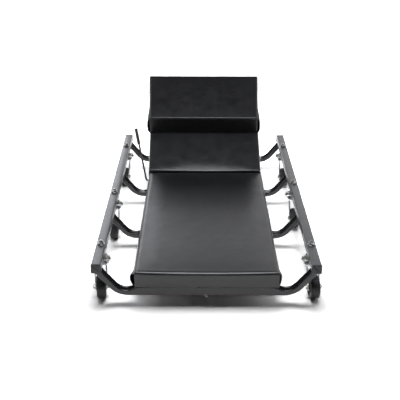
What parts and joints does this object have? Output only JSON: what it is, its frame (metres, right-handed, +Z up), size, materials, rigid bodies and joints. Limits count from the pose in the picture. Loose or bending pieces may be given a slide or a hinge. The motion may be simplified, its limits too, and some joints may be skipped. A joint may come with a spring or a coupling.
{
  "type": "mechanics creeper",
  "caption": "Low mechanics creeper: padded deck and tilting headrest slung between square side rails on bent cross-members, rolling on swivel casters.",
  "frame": {"origin": "on the floor under the middle of the bounding box", "axes": "+Y from the foot end to the head end, +X to the right seen from the foot end, +Z up"},
  "size_m": [0.6304, 1.0173, 0.3651],
  "materials": {
    "rail_paint": "semi-gloss dark graphite powder coat",
    "frame_paint": "gloss black powder coat",
    "plug_plastic": "moulded black polyethylene",
    "vinyl": "black satin vinyl upholstery with a fine grain",
    "plywood": "black-stained plywood",
    "zinc": "yellowish zinc plating",
    "caster_steel": "bright zinc-plated pressed steel",
    "wheel_rubber": "hard black wheel tread, satin",
    "black_steel": "satin black painted steel",
    "grip_plastic": "soft black grip sleeve"
  },
  "bodies": {
    "frame": {"rail_left": "rail_paint", "rail_plug_foot_left": "plug_plastic", "rail_plug_head_left": "plug_plastic", "prop_bracket_left": "black_steel", "rail_right": "rail_paint", "rail_plug_foot_right": "plug_plastic", "rail_plug_head_right": "plug_plastic", "prop_bracket_right": "black_steel", "cross_member_1": "frame_paint", "cross_member_2": "frame_paint", "cross_member_3": "frame_paint", "cross_member_4": "frame_paint", "deck_board": "plywood", "deck_pad": "vinyl", "hinge_leaf_deck": "black_steel", "hinge_pin": "zinc", "deck_bolt_front": "zinc", "caster_foot_left_plate": "caster_steel", "caster_foot_left_rail_bolt": "zinc", "caster_foot_left_ear_bolt": "zinc", "caster_foot_right_plate": "caster_steel", "caster_foot_right_rail_bolt": "zinc", "caster_foot_right_ear_bolt": "zinc", "caster_mid_left_plate": "caster_steel", "caster_mid_left_rail_bolt": "zinc", "caster_mid_left_ear_bolt": "zinc", "caster_mid_right_plate": "caster_steel", "caster_mid_right_rail_bolt": "zinc", "caster_mid_right_ear_bolt": "zinc", "caster_head_left_plate": "caster_steel", "caster_head_left_rail_bolt": "zinc", "caster_head_left_ear_bolt": "zinc", "caster_head_right_plate": "caster_steel", "caster_head_right_rail_bolt": "zinc", "caster_head_right_ear_bolt": "zinc"},
    "head_section": {"head_board": "plywood", "head_pad": "vinyl", "head_pillow": "vinyl", "hinge_leaf_head": "black_steel", "prop_wear_plate": "black_steel"},
    "prop": {"prop_bail": "black_steel", "lever_grip": "grip_plastic"},
    "caster_foot_left_swivel": {"caster_foot_left_fork": "caster_steel", "caster_foot_left_axle": "zinc"},
    "caster_foot_left_wheel": {"caster_foot_left_wheel": "wheel_rubber"},
    "caster_foot_right_swivel": {"caster_foot_right_fork": "caster_steel", "caster_foot_right_axle": "zinc"},
    "caster_foot_right_wheel": {"caster_foot_right_wheel": "wheel_rubber"},
    "caster_mid_left_swivel": {"caster_mid_left_fork": "caster_steel", "caster_mid_left_axle": "zinc"},
    "caster_mid_left_wheel": {"caster_mid_left_wheel": "wheel_rubber"},
    "caster_mid_right_swivel": {"caster_mid_right_fork": "caster_steel", "caster_mid_right_axle": "zinc"},
    "caster_mid_right_wheel": {"caster_mid_right_wheel": "wheel_rubber"},
    "caster_head_left_swivel": {"caster_head_left_fork": "caster_steel", "caster_head_left_axle": "zinc"},
    "caster_head_left_wheel": {"caster_head_left_wheel": "wheel_rubber"},
    "caster_head_right_swivel": {"caster_head_right_fork": "caster_steel", "caster_head_right_axle": "zinc"},
    "caster_head_right_wheel": {"caster_head_right_wheel": "wheel_rubber"}
  },
  "joints": [
    {"name": "head_tilt", "type": "hinge", "parent": "frame", "child": "head_section", "pos_m": [0, 0.1863, 0.0595], "axis": [1, 0, 0], "range_deg": [-32, 8]},
    {"name": "prop_swing", "type": "hinge", "parent": "frame", "child": "prop", "pos_m": [0, 0.2363, 0.0475], "axis": [1, 0, 0], "range_deg": [-46, 12]},
    {"name": "foot_left_swivel", "type": "hinge", "parent": "frame", "child": "caster_foot_left_swivel", "pos_m": [-0.288, -0.4187, 0.095], "axis": [0, 0, 1], "continuous": true},
    {"name": "foot_left_roll", "type": "hinge", "parent": "caster_foot_left_swivel", "child": "caster_foot_left_wheel", "pos_m": [-0.28403, -0.45649, 0.03175], "axis": [0.9945, 0.1045, 0], "continuous": true},
    {"name": "foot_right_swivel", "type": "hinge", "parent": "frame", "child": "caster_foot_right_swivel", "pos_m": [0.288, -0.4187, 0.095], "axis": [0, 0, 1], "continuous": true},
    {"name": "foot_right_roll", "type": "hinge", "parent": "caster_foot_right_swivel", "child": "caster_foot_right_wheel", "pos_m": [0.29158, -0.45653, 0.03175], "axis": [0.9956, 0.0941, 0], "continuous": true},
    {"name": "mid_left_swivel", "type": "hinge", "parent": "frame", "child": "caster_mid_left_swivel", "pos_m": [-0.288, -0.0697, 0.095], "axis": [0, 0, 1], "continuous": true},
    {"name": "mid_left_roll", "type": "hinge", "parent": "caster_mid_left_swivel", "child": "caster_mid_left_wheel", "pos_m": [-0.28601, -0.10765, 0.03175], "axis": [0.9986, 0.0523, 0], "continuous": true},
    {"name": "mid_right_swivel", "type": "hinge", "parent": "frame", "child": "caster_mid_right_swivel", "pos_m": [0.288, 0.0063, 0.095], "axis": [0, 0, 1], "continuous": true},
    {"name": "mid_right_roll", "type": "hinge", "parent": "caster_mid_right_swivel", "child": "caster_mid_right_wheel", "pos_m": [0.288, -0.0317, 0.03175], "axis": [1, 0, 0], "continuous": true},
    {"name": "head_left_swivel", "type": "hinge", "parent": "frame", "child": "caster_head_left_swivel", "pos_m": [-0.288, 0.3473, 0.095], "axis": [0, 0, 1], "continuous": true},
    {"name": "head_left_roll", "type": "hinge", "parent": "caster_head_left_swivel", "child": "caster_head_left_wheel", "pos_m": [-0.29158, 0.30947, 0.03175], "axis": [0.9956, -0.0941, 0], "continuous": true},
    {"name": "head_right_swivel", "type": "hinge", "parent": "frame", "child": "caster_head_right_swivel", "pos_m": [0.288, 0.3473, 0.095], "axis": [0, 0, 1], "continuous": true},
    {"name": "head_right_roll", "type": "hinge", "parent": "caster_head_right_swivel", "child": "caster_head_right_wheel", "pos_m": [0.288, 0.3093, 0.03175], "axis": [1, 0, 0], "continuous": true}
  ],
  "couplings": [
    {"joint": "prop_swing", "follows": "head_tilt", "ratio": 1.43}
  ]
}
